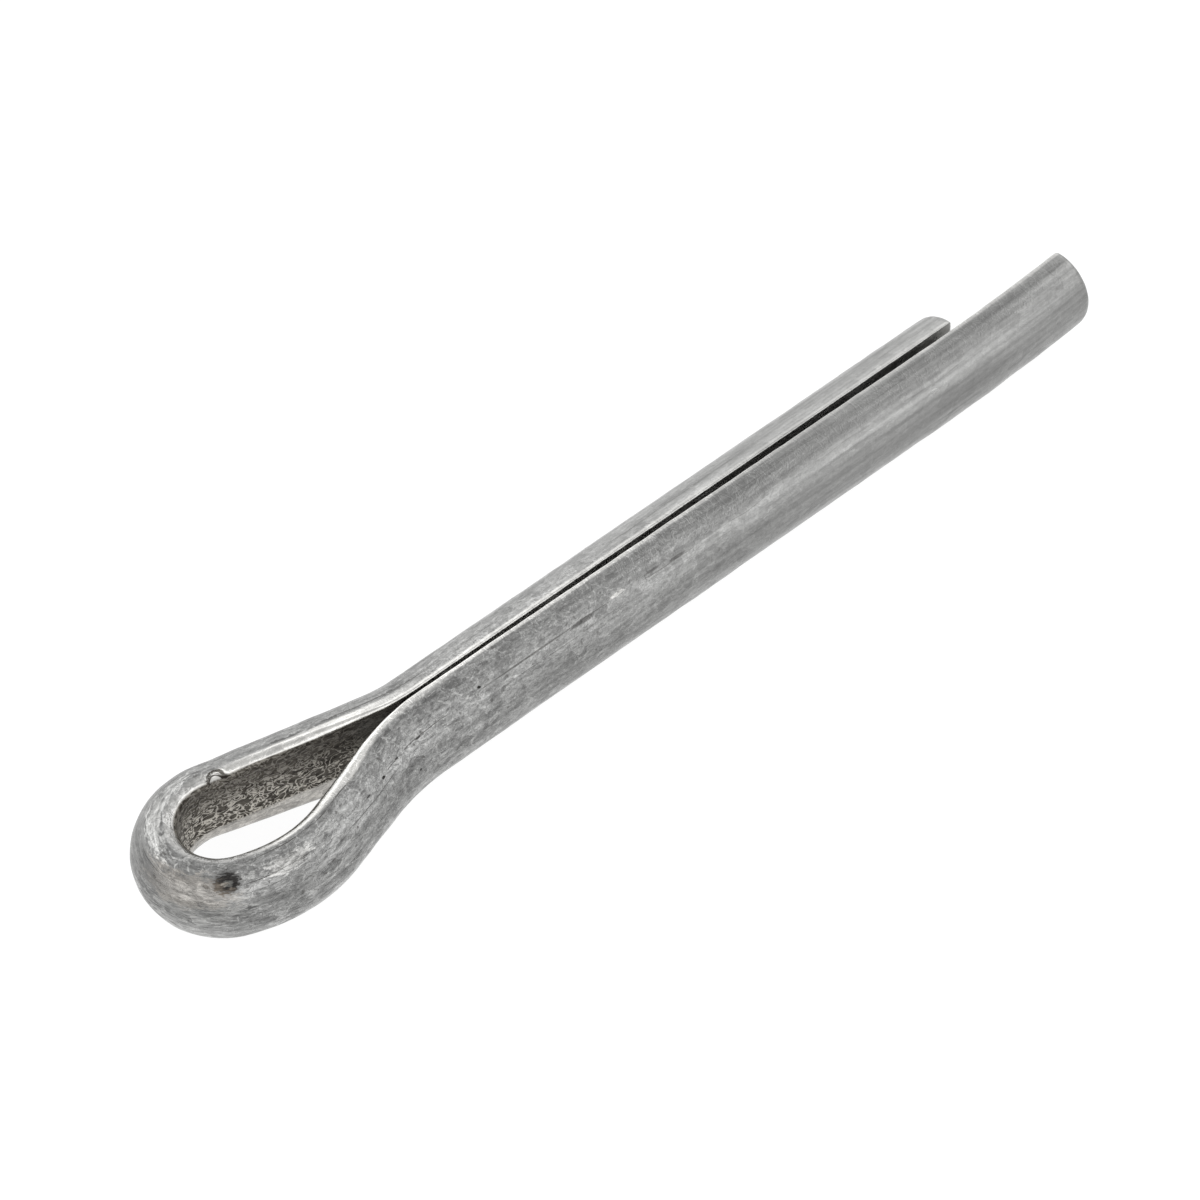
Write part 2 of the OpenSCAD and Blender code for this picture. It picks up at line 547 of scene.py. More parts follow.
wear(wire, "die_lines", mark_size=(5, 0.3, 0.3), depth=0.02, detail=1)
wear(wire, "rough_flat_grain", mark_size=(0.35, 0.2, 0.2), depth=0.05, detail=2, group="rough_flat")

# %% [markdown]
# A knock has bitten a small scallop out of the edge that becomes the eye's. One point of the
# edge is pushed in, and proportional editing takes its neighbours along in a round hollow.

# %% Knock a nick into the edge
NICK_PLACE = Vector((33.72, -0.1, 1.58))
NICK_W = 0.7
NICK_PUSH = Vector((0, -0.26, -0.16))

nearest = min(places, key=lambda place: (Vector(place) - NICK_PLACE).length)
nearest = wire.data.vertices[places.index(nearest)].co / MM
choose(wire, lambda p: (p - nearest).length < NEAR)
bpy.ops.transform.translate(
    value=NICK_PUSH * MM, use_proportional_edit=True,
    proportional_edit_falloff="SPHERE", proportional_size=NICK_W / 2 * MM,
)
bpy.ops.object.mode_set(mode="OBJECT")
print("nick", NICK_W, "mm wide at", [round(c, 2) for c in nearest])

# %% [markdown]
# ## Fold the wire
# The path is a second walk: one point, extruded along the straights and spun round the bends.
# It becomes a curve, and a Curve modifier lays the straight wire along it, flat on the path and
# back on the right, in the same way as the bending tool wraps the wire round its pins.

# %% Walk the path
BEND_STEP = math.radians(0.5)
STRAIGHT_STEP = 0.1
# The end of the longer leg turns a little towards the shorter one
PRONG_BENT_L = 8.5
PRONG_BEND_R = 120


def bend(angle, centre):
    """Takes the path round a centre in mm."""
    turn(math.ceil(abs(angle) / BEND_STEP), angle, (*centre, 0), Z_AXIS)


def run(length, heading):
    """Takes the path straight on; mm."""
    go(math.ceil(length / STRAIGHT_STEP), length, (math.cos(heading), math.sin(heading), 0))


short_tip = short_root - short_leg_l * Vector((math.cos(short_heading), math.sin(short_heading)))
path = start_point("path", (*short_tip, 0))
run(short_leg_l, short_heading)
bend(short_neck_turn, short_neck_c)
run(short_arm_l, short_arm_heading)
bend(nose_turn, nose_c)
bend(cheek_turn, cheek_c)
run(long_arm_l, long_arm_heading)
bend(long_neck_turn, long_neck_c)
straight_l = long_leg_l - PRONG_BENT_L
run(straight_l, long_heading)
bent_from = straight_l * Vector((math.cos(long_heading), math.sin(long_heading))) - short_root
bend(PRONG_BENT_L / PRONG_BEND_R, bent_from - PRONG_BEND_R * right_of(long_heading))
bpy.ops.object.mode_set(mode="OBJECT")
print("path ends at", [round(c / MM, 3) for c in path.data.vertices[-1].co], "mm")

# %% Lay the wire along the path
bpy.ops.object.convert(target="CURVE")
path = bpy.context.object
fold = wire.modifiers.new("fold", "CURVE")
fold.object = path
fold.deform_axis = "POS_X"
bpy.context.view_layer.update()
bpy.ops.object.select_all(action="DESELECT")
wire.select_set(True)
bpy.context.view_layer.objects.active = wire
bpy.ops.object.modifier_apply(modifier=fold.name)
bpy.data.objects.remove(path)
bpy.ops.object.shade_smooth()
print("folded pin of", [round(size / MM, 2) for size in wire.dimensions], "mm")

# %% [markdown]
# ## Tumbling
# After folding, the pins roll over each other in a barrel. That leaves soft dents all over, and
# many small ones. Two more Displace modifiers make them.

# %% Tumble the pin
wear(wire, "soft_dents", mark_size=(1.1, 1.1, 1.1), depth=0.035, detail=1)
wear(wire, "small_dents", mark_size=(0.35, 0.35, 0.35), depth=0.008, detail=2)
print("pin of", sum(len(face.vertices) - 2 for face in wire.data.polygons), "triangles")

# %% [markdown]
# ## The metal
# Plain carbon steel wire, drawn and tumbled. That gives a satin grey that is never even: bright
# burnished edges, a scuffed paler band where pins knock together, and a smooth darker grey
# between. Patterns are laid out on the wire itself, in mm: along it, across it and round it.

# %% Start the steel and unroll the wire
# Drawn and tumbled carbon steel: it gives the eye a satin grey, broken up by flakes and streaks
steel = bpy.data.materials.new("drawn_tumbled_steel")
steel.use_nodes = True
metal = steel.node_tree
shader = metal.nodes["Principled BSDF"]
shader.inputs["Metallic"].default_value = 1.0

own_place = add_node(metal, "Attribute", attribute_name="wire").node.outputs["Vector"]
along, across, height = add_node(metal, "SeparateXYZ", {"Vector": own_place}).node.outputs
off_axis = add_node(metal, "Math", {0: flat_n, 1: across}, operation="SUBTRACT")
angle = add_node(metal, "Math", {0: height, 1: off_axis}, operation="ARCTAN2")
round_mm = add_node(metal, "Math", {0: angle, 1: SHANK_R}, operation="MULTIPLY")
unrolled = add_node(metal, "CombineXYZ", {"X": along, "Y": round_mm})
print("unrolled", round(wire_l, 1), "mm along and", round(math.pi * SHANK_R, 1), "mm round")

# %% [markdown]
# The eye is worn harder than the legs. Two values along the wire say where: the first one ends
# at the necks, with the wide edges, and the second one runs on along the legs.

# %% Fade from the eye to the legs
EYE_FADE_IN = (25.5, 29.0)
EYE_FADE_OUT = (49.5, 45.5)
WEAR_FADE = 16

fades = []
for reach in (0, WEAR_FADE):
    fade_in = add_node(metal, "MapRange", {
        "Value": along, "From Min": EYE_FADE_IN[0] - reach, "From Max": EYE_FADE_IN[1],
    })
    fade_out = add_node(metal, "MapRange", {
        "Value": along, "From Min": EYE_FADE_OUT[0] + reach, "From Max": EYE_FADE_OUT[1],
    })
    fades.append(add_node(metal, "Math", {0: fade_in, 1: fade_out}, operation="MULTIPLY"))
at_eye, wear_share = fades
print("the eye lies from", EYE_FADE_IN[1], "to", EYE_FADE_OUT[1], "mm along the wire")

# %% [markdown]
# The grey depends on the side of the wire. A colour ramp over the angle round the section holds
# it, and slow noise along the wire moves the borders of the bands up and down a little.

# %% Give each side its grey
# Angle round the wire in degrees, from its back, and the grey there
SIDE_GREYS = [
    (-90, "#868685"), (-60, "#8C8C8B"), (-44, "#969695"), (-20, "#929291"), (2, "#848483"),
    (24, "#868685"), (33, "#8E8E8D"), (40, "#949493"), (49, "#8B8B8A"), (56, "#858584"),
    (64, "#8A8A89"), (71, "#838382"), (79, "#8A8A89"), (90, "#979796"),
]
# Size of the slow noise along and round the wire in mm, and how far it moves the bands
WANDER = (3.5, 1.2)
WANDER_ANGLE = math.radians(14)

stretched = add_node(metal, "VectorMath", {
    0: unrolled, 1: (1 / WANDER[0], 1 / WANDER[1], 1),
}, operation="MULTIPLY")
wander = add_node(metal, "TexNoise", {"Vector": stretched, "Scale": 1.0, "Detail": 2.0})
wandered = add_node(metal, "Math", {
    0: wander, 1: WANDER_ANGLE, 2: angle,
}, operation="MULTIPLY_ADD")
turned_share = add_node(metal, "MapRange", {
    "Value": wandered,
    "From Min": WANDER_ANGLE / 2 - math.pi / 2, "From Max": WANDER_ANGLE / 2 + math.pi / 2,
})
sides = add_node(metal, "ValToRGB", {"Fac": turned_share}).node
for degrees, grey in SIDE_GREYS[1:-1]:
    sides.color_ramp.elements.new((degrees + 90) / 180)
for stop, (degrees, grey) in zip(sides.color_ramp.elements, SIDE_GREYS):
    stop.color = linear(grey)
skin = sides.outputs["Color"]
print("greys for", len(SIDE_GREYS), "sides of the wire")

# %% [markdown]
# Close up, the skin is a patchwork of small flakes, pressed flat by other pins. Voronoi cells
# make flakes when their coordinates are pushed about by noise. Each flake makes the grey a little
# lighter or darker, with a paler rim, and the same pattern drives the bump later on.

# %% Press flakes into the skin
FLAKE_SIZE = 0.34
# Share of a flake's length that its width is
FLAKE_SLIM = 0.6
FLAKE_WARP = 0.3
FLAKE_TONES = (0.7, 1.3)
# Width of the rim as a share of the flake, and its tone
RIM_W = 0.1
RIM_TONE = 1.2

warp = add_node(metal, "TexNoise", {"Vector": own_place, "Scale": 1 / FLAKE_SIZE, "Detail": 2.0})
warp = warp.node.outputs["Color"]
warped = add_node(metal, "VectorMath", {
    0: warp, 1: [FLAKE_WARP] * 3, 2: own_place,
}, operation="MULTIPLY_ADD")
flaked = add_node(metal, "VectorMath", {
    0: warped, 1: (FLAKE_SLIM / FLAKE_SIZE, 1 / FLAKE_SIZE, 1 / FLAKE_SIZE),
}, operation="MULTIPLY")
flakes = add_node(metal, "TexVoronoi", {"Vector": flaked, "Scale": 1.0}).node.outputs["Color"]
flake_tone = add_node(metal, "MapRange", {
    "Value": flakes, "To Min": FLAKE_TONES[0], "To Max": FLAKE_TONES[1],
})
off_rim = add_node(metal, "TexVoronoi", {
    "Vector": flaked, "Scale": 1.0,
}, feature="DISTANCE_TO_EDGE")
rim_tone = add_node(metal, "MapRange", {
    "Value": off_rim, "From Max": RIM_W, "To Min": RIM_TONE, "To Max": 1.0,
})
tone = add_node(metal, "Math", {0: flake_tone, 1: rim_tone}, operation="MULTIPLY")
print("flakes of", FLAKE_SIZE, "mm")

# %% [markdown]
# Over the flakes lies grain of three sizes. It is noise, stretched along the wire. The legs are
# worn less than the eye, so flakes and grain get weaker towards their tips.

# %% Add the grain
# Each grain: its size in mm along and across the wire, and its darkest and lightest tone. The
# grit is drawn coarser than the barrel leaves it, because that would be too fine to show.
GRAINS = {
    "mottle": ((2.4, 0.4), (0.9, 1.1)),
    "grain": ((0.24, 0.1), (0.64, 1.36)),
    "grit": ((0.07, 0.05), (0.8, 1.2)),
}
# Most values of a noise lie between these two
NOISE_SPREAD = (0.3, 0.7)
LEG_WEAR = 0.24

grains = {}
for name, (size, tones) in GRAINS.items():
    sized = add_node(metal, "VectorMath", {
        0: own_place, 1: (1 / size[0], 1 / size[1], 1 / size[1]),
    }, operation="MULTIPLY")
    grains[name] = add_node(metal, "TexNoise", {
        "Vector": sized, "Scale": 1.0, "Detail": 3.0, "Roughness": 0.6,
    })
    grain_tone = add_node(metal, "MapRange", {
        "Value": grains[name], "From Min": NOISE_SPREAD[0], "From Max": NOISE_SPREAD[1],
        "To Min": tones[0], "To Max": tones[1],
    })
    tone = add_node(metal, "Math", {0: tone, 1: grain_tone}, operation="MULTIPLY")
harder = add_node(metal, "MapRange", {"Value": wear_share, "To Min": LEG_WEAR, "To Max": 1.0})
tone = add_node(metal, "Mix", {0: harder, 2: 1.0, 3: tone}, data_type="FLOAT")
print("grains:", list(grains))

# %% [markdown]
# The die has left long streaks as well, which show most on the legs. The shorter leg is painted
# paler than the rest: painted light, standing in for the brighter light that falls on it. All
# tones together are then laid over the grey.

# %% Streak the wire and tone the grey
# Size of a streak in mm along and across the wire, and its darkest and lightest tone
STREAK_SIZE = (6.0, 0.2)
STREAK_TONES = (0.8, 1.2)
# Painted light: how much paler the shorter leg is painted
SHORT_LEG_PAINTED_LIGHT = 1.18

drawn = add_node(metal, "VectorMath", {
    0: own_place, 1: (1 / STREAK_SIZE[0], 1 / STREAK_SIZE[1], 1 / STREAK_SIZE[1]),
}, operation="MULTIPLY")
streaks = add_node(metal, "TexNoise", {"Vector": drawn, "Scale": 1.0, "Detail": 2.0})
streak_tone = add_node(metal, "MapRange", {
    "Value": streaks, "From Min": NOISE_SPREAD[0], "From Max": NOISE_SPREAD[1],
    "To Min": STREAK_TONES[0], "To Max": STREAK_TONES[1],
})
# Painted light on the shorter leg, fading out towards the eye
short_leg_painted_light = add_node(metal, "MapRange", {
    "Value": along, "From Min": EYE_FADE_IN[0], "From Max": EYE_FADE_IN[1],
    "To Min": SHORT_LEG_PAINTED_LIGHT, "To Max": 1.0,
})
toned = tone
for factor in (short_leg_painted_light, streak_tone):
    toned = add_node(metal, "Math", {0: toned, 1: factor}, operation="MULTIPLY")
skin = add_node(metal, "VectorMath", {0: skin, "Scale": toned}, operation="SCALE")
print("streaks of", STREAK_SIZE, "mm")

# %% [markdown]
# Scratches are short, curved and paler than the skin. The line along which a soft noise passes
# through its middle value is such a curve, and a second noise breaks it into short strokes.

# %% Scratch the skin
# Each set of scratches: how far apart and how wide they are in mm, and how much they show
SCRATCHES = [(0.7, 0.012, 0.5), (0.36, 0.008, 0.4)]
SCRATCH_STRETCH = 1.8
SCRATCH_GREY = "#C2C2C0"
# Strokes to the distance between two scratches, and the noise at which they start and are full
STROKES = 2.6
STROKE_SHOWS = (0.5, 0.58)
LEG_SCRATCHES = 0.1
# A noise's middle value, and how much it changes over its own size
NOISE_MIDDLE = 0.5
NOISE_SLOPE = 0.7

drawn_out = add_node(metal, "VectorMath", {
    0: own_place, 1: (1 / SCRATCH_STRETCH, 1, 1),
}, operation="MULTIPLY")
scratches = 0.0
for apart, width, share in SCRATCHES:
    curls = add_node(metal, "TexNoise", {
        "Vector": drawn_out, "Scale": 1 / apart, "Detail": 1.0, "Distortion": 0.4,
    })
    line = add_node(metal, "Math", {
        0: curls, 1: NOISE_MIDDLE, 2: NOISE_SLOPE * width / apart,
    }, operation="COMPARE")
    breaks = add_node(metal, "TexNoise", {"Vector": own_place, "Scale": STROKES / apart, "Detail": 3.0})
    shown = add_node(metal, "MapRange", {
        "Value": breaks, "From Min": STROKE_SHOWS[0], "From Max": STROKE_SHOWS[1], "To Max": share,
    })
    line = add_node(metal, "Math", {0: line, 1: shown}, operation="MULTIPLY")
    scratches = add_node(metal, "Math", {0: scratches, 1: line}, operation="MAXIMUM")
in_eye = add_node(metal, "MapRange", {"Value": wear_share, "To Min": LEG_SCRATCHES})
scratches = add_node(metal, "Math", {0: scratches, 1: in_eye}, operation="MULTIPLY")
skin = add_node(metal, "Mix", {0: scratches, 6: skin, 7: linear(SCRATCH_GREY)}, data_type="RGBA")
print(len(SCRATCHES), "sets of scratches")

# %% [markdown]
# A worn die draws fine dark seams along the wire, and small specks of scale are pressed in. A
# seam lies at one angle round the wire, and noise breaks it up. Specks are the middles of
# Voronoi cells.

# %% Mark the seams and specks
# Each seam: its angle in degrees and its width in mm
SEAMS = [(47, 0.03), (37, 0.02), (70, 0.035), (-40, 0.03)]
# Size of the pieces of a seam along and round the wire in mm, and the noise at which they show
SEAM_PIECE = (3.0, 0.4)
SEAM_SHOWS = (0.49, 0.56)
SEAM_GREY = "#5E5D5B"
SPECK_APART = 0.5
SPECK_R = 0.05
SPECK_FADED_R = 0.075
SPECK_SHARE = 0.7

pieced = add_node(metal, "VectorMath", {
    0: unrolled, 1: (1 / SEAM_PIECE[0], 1 / SEAM_PIECE[1], 1),
}, operation="MULTIPLY")
seam_breaks = add_node(metal, "TexNoise", {
    "Vector": pieced, "Scale": 1.0, "Detail": 4.0, "Roughness": 0.65,
})
seam_shown = add_node(metal, "MapRange", {
    "Value": seam_breaks, "From Min": SEAM_SHOWS[0], "From Max": SEAM_SHOWS[1],
})
seams = 0.0
for degrees, width in SEAMS:
    seam = add_node(metal, "Math", {
        0: wandered, 1: math.radians(degrees) + WANDER_ANGLE / 2, 2: width / 2 / SHANK_R,
    }, operation="COMPARE")
    seams = add_node(metal, "Math", {0: seams, 1: seam}, operation="MAXIMUM")
seams = add_node(metal, "Math", {0: seams, 1: seam_shown}, operation="MULTIPLY")
off_speck = add_node(metal, "TexVoronoi", {"Vector": warped, "Scale": 1 / SPECK_APART})
specks = add_node(metal, "MapRange", {
    "Value": off_speck, "From Min": SPECK_FADED_R / SPECK_APART, "From Max": SPECK_R / SPECK_APART,
    "To Max": SPECK_SHARE,
})
seams = add_node(metal, "Math", {0: seams, 1: specks}, operation="MAXIMUM")
seams = add_node(metal, "Math", {0: seams, 1: harder}, operation="MULTIPLY")
skin = add_node(metal, "Mix", {0: seams, 6: skin, 7: linear(SEAM_GREY)}, data_type="RGBA")
print(len(SEAMS), "seams, and specks", SPECK_APART, "mm apart")

# %% [markdown]
# Every pin has marks of its own. This one has a dark stain on the nose, a pale scuff on the
# cheek, a brown tint under the nose, a few pits along its upper side, and a crease with some
# flaws on its longer leg. Each mark is a soft spot at a place on the unrolled wire, with its edge
# broken up by the grain.

# %% Add this pin's own marks
# Each mark: its middle along the wire in mm and round it in degrees, its half length and half
# width in mm, its colour, and how much of it shows
MARKS = {
    "stain": ((38.46, 52), (0.26, 0.36), "#333231", 1.0),
    "stain_core": ((38.46, 51), (0.1, 0.12), "#82827F", 0.5),
    "scuff": ((40.1, 51), (0.6, 0.3), "#CAC9C6", 0.45),
    "cheek_dull": ((39.9, 29), (0.8, 0.35), "#70706F", 0.45),
    "nose_worn": ((37.9, 17), (0.9, 0.4), "#A0A09E", 0.45),
    "tint": ((37.6, 40), (0.9, 0.6), "#776E63", 0.36),
    "nose_dull": ((36.4, 36), (0.8, 0.35), "#5E5E5D", 0.5),
    "nose_pale": ((35.8, 63), (1.2, 0.32), "#BEBEBC", 0.6),
    "pit_arm": ((44.26, 43), (0.08, 0.05), "#2E2D2C", 1.0),
    "pit_side": ((45.87, 15), (0.07, 0.05), "#2E2D2C", 0.9),
    "pit_leg": ((49.45, 52), (0.07, 0.05), "#2E2D2C", 1.0),
    "pit_neck": ((46.46, 46), (0.12, 0.03), "#2E2D2C", 0.9),
    "pit_low": ((45.19, 46), (0.08, 0.04), "#2E2D2C", 0.8),
    "pit_cheek": ((43.34, 43), (0.1, 0.035), "#2E2D2C", 0.8),
    "crease_leg": ((51.6, 49), (2.0, 0.03), "#4E4D4B", 0.75),
    "flaw_leg": ((54.1, 48), (0.55, 0.075), "#484746", 0.8),
    "flaw_middle": ((57.4, 51), (0.3, 0.05), "#555453", 0.7),
    "flaw_far": ((58.5, 48), (0.4, 0.06), "#525150", 0.75),
    "speck_leg": ((55.7, 51), (0.35, 0.06), "#C9C8C5", 0.6),
}
# A mark starts and is full at these shares of its size, and the grain moves that by up to RAGGED
MARK_SHOWS = (1.15, 0.75)
RAGGED = 0.45
# Most values of the grain's tone lie between these two
TONE_SPREAD = (0.5, 1.5)

ragged = add_node(metal, "MapRange", {
    "Value": tone, "From Min": TONE_SPREAD[0], "From Max": TONE_SPREAD[1],
    "To Min": RAGGED, "To Max": -RAGGED,
})
for name, ((mark_x, degrees), (half_l, half_w), colour, share) in MARKS.items():
    middle = (mark_x, math.radians(degrees) * SHANK_R, 0)
    moved = add_node(metal, "VectorMath", {0: unrolled, 1: middle}, operation="SUBTRACT")
    shaped = add_node(metal, "VectorMath", {
        0: moved, 1: (1 / half_l, 1 / half_w, 0),
    }, operation="MULTIPLY")
    off_middle = add_node(metal, "VectorMath", {0: shaped}, operation="LENGTH").node.outputs["Value"]
    off_middle = add_node(metal, "Math", {0: off_middle, 1: ragged}, operation="ADD")
    mark = add_node(metal, "MapRange", {
        "Value": off_middle, "From Min": MARK_SHOWS[0], "From Max": MARK_SHOWS[1], "To Max": share,
    })
    grained = add_node(metal, "VectorMath", {0: linear(colour)[:3], "Scale": tone}, operation="SCALE")
    skin = add_node(metal, "Mix", {0: mark, 6: skin, 7: grained}, data_type="RGBA")
print(len(MARKS), "marks")

# %% [markdown]
# The barrel burnishes the edges beside the flat: they are smooth and bright, and the eye reads
# them as a white line. The distance from the flat says where they are. The line is wide in the
# eye and narrow on the legs, and most of it is worn off round the nose.

# %% Find the burnished edges
# How far from the flat the burnish starts and is full, in the eye and on the legs; mm
BURNISHED_EYE = (-0.46, -0.33)
BURNISHED_LEG = (-0.2, -0.12)
# How far the ragged grain moves the border in the eye; mm
BURNISH_RAGGED = 0.11
# The near arm's bright band grows wider between the first two places along the wire, and between
# the next two it turns into the neck's line, which is narrower
BAND_GROWS = (41.0, 43.5)
BAND_WIDER = 0.16
BAND_SHRINKS = (43.6, 45.4)
BAND_NARROWER = 0.28
# The nose's edge is duller: its middle along the wire, and how far off it starts to be bright
# and is bright again
NOSE_X = 36.8
NOSE_DULLED = (2.4, 3.4)
NOSE_SHARE = 0.35
# Share of the burnish on a leg's edge, at its tip and at its neck
LEG_SHARES = (0.25, 1.0)

eye_across = across
for (start, stop), change in ((BAND_GROWS, BAND_WIDER), (BAND_SHRINKS, -BAND_NARROWER)):
    wider = add_node(metal, "MapRange", {
        "Value": along, "From Min": start, "From Max": stop, "To Max": change,
    })
    eye_across = add_node(metal, "Math", {0: eye_across, 1: wider}, operation="ADD")
eye_across = add_node(metal, "Math", {
    0: ragged, 1: BURNISH_RAGGED, 2: eye_across,
}, operation="MULTIPLY_ADD")
eye_edge, leg_edge = (
    add_node(metal, "MapRange", {
        "Value": from_flat, "From Min": start, "From Max": full,
    }, interpolation_type="SMOOTHSTEP")
    for from_flat, (start, full) in ((eye_across, BURNISHED_EYE), (across, BURNISHED_LEG))
)
off_nose = add_node(metal, "Math", {0: along, 1: NOSE_X}, operation="SUBTRACT")
off_nose = add_node(metal, "Math", {0: off_nose}, operation="ABSOLUTE")
nose_share = add_node(metal, "MapRange", {
    "Value": off_nose, "From Min": NOSE_DULLED[0], "From Max": NOSE_DULLED[1], "To Min": NOSE_SHARE,
})
for share in (at_eye, nose_share):
    eye_edge = add_node(metal, "Math", {0: eye_edge, 1: share}, operation="MULTIPLY")
leg_share = add_node(metal, "MapRange", {
    "Value": wear_share, "To Min": LEG_SHARES[0], "To Max": LEG_SHARES[1],
})
leg_edge = add_node(metal, "Math", {0: leg_edge, 1: leg_share}, operation="MULTIPLY")
burnished = add_node(metal, "Math", {0: eye_edge, 1: leg_edge}, operation="MAXIMUM")
print("burnish of", -BURNISHED_EYE[0], "mm in the eye and", -BURNISHED_LEG[0], "mm on the legs")

# %% Brighten the burnished edges, with a painted highlight at the longer leg's neck
BURNISH_AND_HIGHLIGHT_GREY = "#D0CFCC"
BURNISH_TONES = (0.8, 1.2)
# The line at the longer leg's neck, and on along that leg, gets a painted highlight that makes it
# brighter than the rest
NECK_PAINTED_HIGHLIGHT = 1.3

edge_tone = add_node(metal, "MapRange", {
    "Value": tone, "From Min": TONE_SPREAD[0], "From Max": TONE_SPREAD[1],
    "To Min": BURNISH_TONES[0], "To Max": BURNISH_TONES[1],
})
# Painted highlight on the neck's line and on along the longer leg
neck_highlight = add_node(metal, "MapRange", {
    "Value": along, "From Min": BAND_SHRINKS[0], "From Max": BAND_SHRINKS[1],
    "To Min": 1.0, "To Max": NECK_PAINTED_HIGHLIGHT,
})
edge_tone = add_node(metal, "Math", {0: edge_tone, 1: neck_highlight}, operation="MULTIPLY")
burnish_with_highlight = add_node(metal, "VectorMath", {
    0: linear(BURNISH_AND_HIGHLIGHT_GREY)[:3], "Scale": edge_tone,
}, operation="SCALE")
skin = add_node(metal, "Mix", {0: burnished, 6: skin, 7: burnish_with_highlight}, data_type="RGBA")
print("edges brightened to", BURNISH_AND_HIGHLIGHT_GREY)

# %% [markdown]
# The eye's flat is out of the barrel's reach. It keeps a dark brown-grey skin of oxide, rough in
# its lower part, with ridges like little worms. A ridge runs where a noise is near its middle
# value, as the scratches do.

# %% Colour the oxide
OXIDE_DARK = "#3C3834"
OXIDE_MIDDLE = "#706C65"
OXIDE_RIDGE = "#D8D4CC"
# The noise between the dark oxide and the middle one
OXIDE_PATCHES = (0.35, 0.65)
# Size of a ridge's curls in mm, and how far off its middle the noise is at its foot and its crest
RIDGE_SIZE = (0.34, 0.22)
RIDGE_EDGES = (0.06, 0.02)
# Ridges are full up to the second height, and at the first one this share is left; mm
RIDGES_FADE = (1.0, 0.0)
RIDGES_HIGH = 0.3

ridged = add_node(metal, "VectorMath", {
    0: own_place, 1: (1 / RIDGE_SIZE[0], 1, 1 / RIDGE_SIZE[1]),
}, operation="MULTIPLY")
ridge_noise = add_node(metal, "TexNoise", {
    "Vector": ridged, "Scale": 1.0, "Detail": 2.0, "Distortion": 1.2,
})
off_ridge = add_node(metal, "Math", {0: ridge_noise, 1: NOISE_MIDDLE}, operation="SUBTRACT")
off_ridge = add_node(metal, "Math", {0: off_ridge}, operation="ABSOLUTE")
ridges = add_node(metal, "MapRange", {
    "Value": off_ridge, "From Min": RIDGE_EDGES[0], "From Max": RIDGE_EDGES[1],
})
rough_low = add_node(metal, "MapRange", {
    "Value": height, "From Min": RIDGES_FADE[0], "From Max": RIDGES_FADE[1], "To Min": RIDGES_HIGH,
})
ridges = add_node(metal, "Math", {0: ridges, 1: rough_low}, operation="MULTIPLY")
patches = add_node(metal, "MapRange", {
    "Value": grains["grain"], "From Min": OXIDE_PATCHES[0], "From Max": OXIDE_PATCHES[1],
})
oxide = linear(OXIDE_DARK)
for share, colour in ((patches, OXIDE_MIDDLE), (ridges, OXIDE_RIDGE)):
    oxide = add_node(metal, "Mix", {0: share, 6: oxide, 7: linear(colour)}, data_type="RGBA")
print("ridges of", RIDGE_SIZE, "mm")

# %% [markdown]
# In the eye, the oxide is kept where three things hold: the place is close to the flat, below the
# upper edge and above the lower strip. That strip, with the edge under it, is painted a beige grey:
# painted shade where the floor's shadow falls under the edge, with the beige of a painted floor
# reflection.

# %% Lay the oxide and the strip on the flat
# In the eye the oxide reaches this far up the rounded edge
OXIDE_RISE = 0.38
# Where the oxide starts and is full: across the wire, past the sunk flat's top, past its bottom; mm
OXIDE_ACROSS = (-0.14, -0.08)
OXIDE_TOP = (0.05, 0.02)
OXIDE_BOTTOM = (-0.03, 0.01)
# Painted shade under the eye's lower edge, in the beige of a painted floor reflection
STRIP_SHADE_BEIGE = "#989590"
# Where the strip starts and is full across the wire, its share, and how far it fades upwards; mm
STRIP_ACROSS = (-0.8, -0.5)
STRIP_SHARE = 0.85
STRIP_FADE = 0.2

lowered = add_node(metal, "Math", {0: at_eye, 1: -OXIDE_RISE, 2: height}, operation="MULTIPLY_ADD")
in_flat = at_eye
for value, border, (start, full) in (
    (across, 0, OXIDE_ACROSS), (lowered, SUNK_TO, OXIDE_TOP), (height, SUNK_FROM, OXIDE_BOTTOM),
):
    kept = add_node(metal, "MapRange", {
        "Value": value, "From Min": border + start, "From Max": border + full,
    })
    in_flat = add_node(metal, "Math", {0: in_flat, 1: kept}, operation="MULTIPLY")
# Painted shade and a painted floor reflection on the lower strip
shaded_strip = add_node(metal, "MapRange", {
    "Value": across, "From Min": STRIP_ACROSS[0], "From Max": STRIP_ACROSS[1], "To Max": STRIP_SHARE,
})
low_down = add_node(metal, "MapRange", {
    "Value": height, "From Min": SUNK_FROM + STRIP_FADE, "From Max": SUNK_FROM,
})
shaded_strip = add_node(metal, "Math", {0: shaded_strip, 1: low_down}, operation="MULTIPLY")
strip_shade = add_node(metal, "VectorMath", {0: linear(STRIP_SHADE_BEIGE)[:3], "Scale": tone}, operation="SCALE")
for share, colour in ((shaded_strip, strip_shade), (in_flat, oxide)):
    skin = add_node(metal, "Mix", {0: share, 6: skin, 7: colour}, data_type="RGBA")
print("oxide from", SUNK_FROM, "to", round(SUNK_TO, 2), "mm up the flat")

# %% [markdown]
# The nick has a dark outline round a bright crescent, above the flat. The outline is oxide with
# painted shade from the hollow's wall, and the crescent is a painted highlight. The distance from a
# point in its hollow draws both: a dark disc first, and a smaller bright one on it.

# %% Colour the nick, with painted shade and a painted highlight
NICK_HOLLOW = (33.76, -0.04, 1.4)
# Painted light: the dark disc is oxide with painted shade, the bright one a painted highlight
# Each disc: its radius in mm and its colour
NICK_SHADE_AND_HIGHLIGHT_DISCS = [(0.3, OXIDE_DARK), (0.255, BURNISH_AND_HIGHLIGHT_GREY)]
NICK_SOFT = 0.03
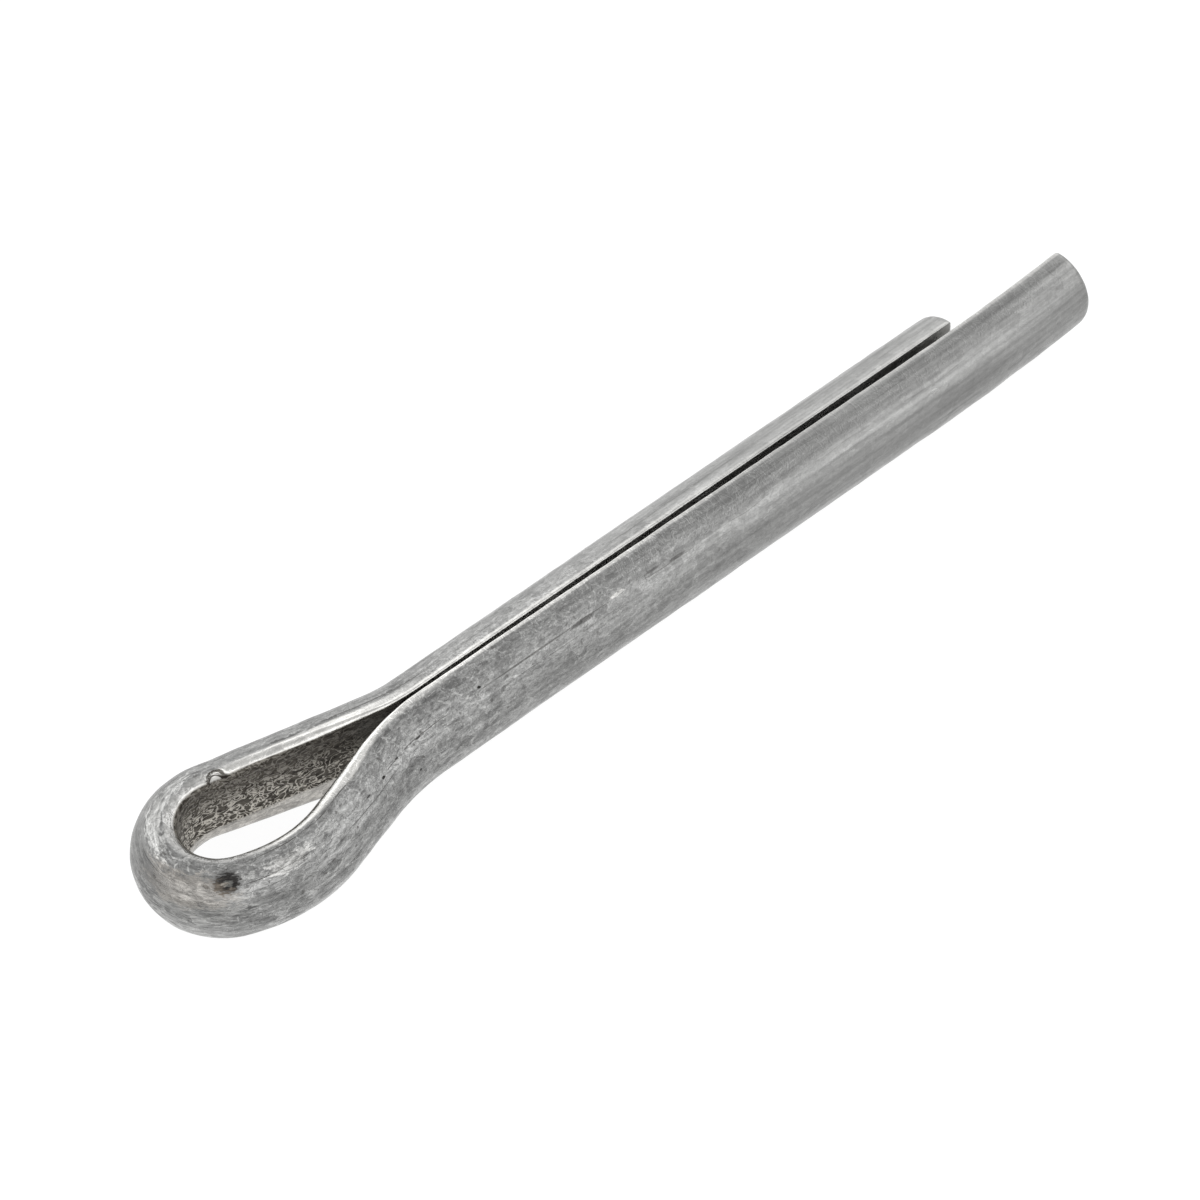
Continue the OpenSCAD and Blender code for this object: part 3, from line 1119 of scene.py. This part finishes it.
# How far above the hollow the discs start and are full; mm
NICK_ABOVE = (0.07, 0.13)

from_nick = add_node(metal, "VectorMath", {0: own_place, 1: NICK_HOLLOW}, operation="DISTANCE")
from_nick = from_nick.node.outputs["Value"]
above = add_node(metal, "MapRange", {
    "Value": height,
    "From Min": NICK_HOLLOW[2] + NICK_ABOVE[0], "From Max": NICK_HOLLOW[2] + NICK_ABOVE[1],
})
for outer, colour in NICK_SHADE_AND_HIGHLIGHT_DISCS:
    nick_shade_and_highlight = add_node(metal, "MapRange", {
        "Value": from_nick, "From Min": outer, "From Max": outer - NICK_SOFT,
    })
    nick_shade_and_highlight = add_node(metal, "Math", {0: nick_shade_and_highlight, 1: above}, operation="MULTIPLY")
    skin = add_node(metal, "Mix", {0: nick_shade_and_highlight, 6: skin, 7: linear(colour)}, data_type="RGBA")
print("nick drawn with", len(NICK_SHADE_AND_HIGHLIGHT_DISCS), "discs")

# %% [markdown]
# Roughness and relief follow the same patterns: burnished edges are smooth, the oxide is dull,
# and flakes, scratches and seams stand up from the skin or lie in it. The steps in the relief
# are drawn deeper than the real ones, which are too fine to show.

# %% Finish the steel
# Roughness of the dull flakes and of the bright ones
SATIN = (0.4, 0.26)
BURNISHED_ROUGHNESS = 0.2
OXIDE_ROUGHNESS = 0.6
RELIEF_DEPTH = 0.03
RIDGE_HEIGHT = 2.0
# Strength of the relief on the plain skin and on a burnished edge
RELIEF_SHARES = (0.9, 0.2)

satin = add_node(metal, "MapRange", {"Value": flakes, "To Min": SATIN[0], "To Max": SATIN[1]})
for share, roughness in ((burnished, BURNISHED_ROUGHNESS), (in_flat, OXIDE_ROUGHNESS)):
    satin = add_node(metal, "Mix", {0: share, 2: satin, 3: roughness}, data_type="FLOAT")
relief = add_node(metal, "Math", {0: flake_tone, 1: grains["grain"]}, operation="ADD")
relief = add_node(metal, "Math", {0: relief, 1: scratches}, operation="ADD")
relief = add_node(metal, "Math", {0: relief, 1: seams}, operation="SUBTRACT")
relief = add_node(metal, "Math", {0: ridges, 1: RIDGE_HEIGHT, 2: relief}, operation="MULTIPLY_ADD")
strength = add_node(metal, "MapRange", {
    "Value": burnished, "To Min": RELIEF_SHARES[0], "To Max": RELIEF_SHARES[1],
})
strength = add_node(metal, "Math", {0: strength, 1: harder}, operation="MULTIPLY")
bump = add_node(metal, "Bump", {"Height": relief, "Strength": strength, "Distance": RELIEF_DEPTH * MM})
metal.links.new(skin, shader.inputs["Base Color"])
metal.links.new(satin, shader.inputs["Roughness"])
metal.links.new(bump, shader.inputs["Normal"])
wire.data.materials.clear()
wire.data.materials.append(steel)
print("steel of", len(metal.nodes), "nodes")

# %% [markdown]
# ## Put the pin in place
# The modelled wire stands for the plain solid of the imported model, in the same place. Both
# boxes are printed, so that they can be compared. The legs' edges are sharper than the solid's
# and reach a tenth of a millimetre lower, so the floor goes down to meet them.

# %% Put the pin in the frame and print its size
wire.name = "cotter_pin_wire"
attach(wire, "root")
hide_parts("cotter_pin")
made_low, made_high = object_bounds()
floor.location.z = made_low.z
print("visual box in mm:", [round(side / MM, 2) for side in made_high - made_low])
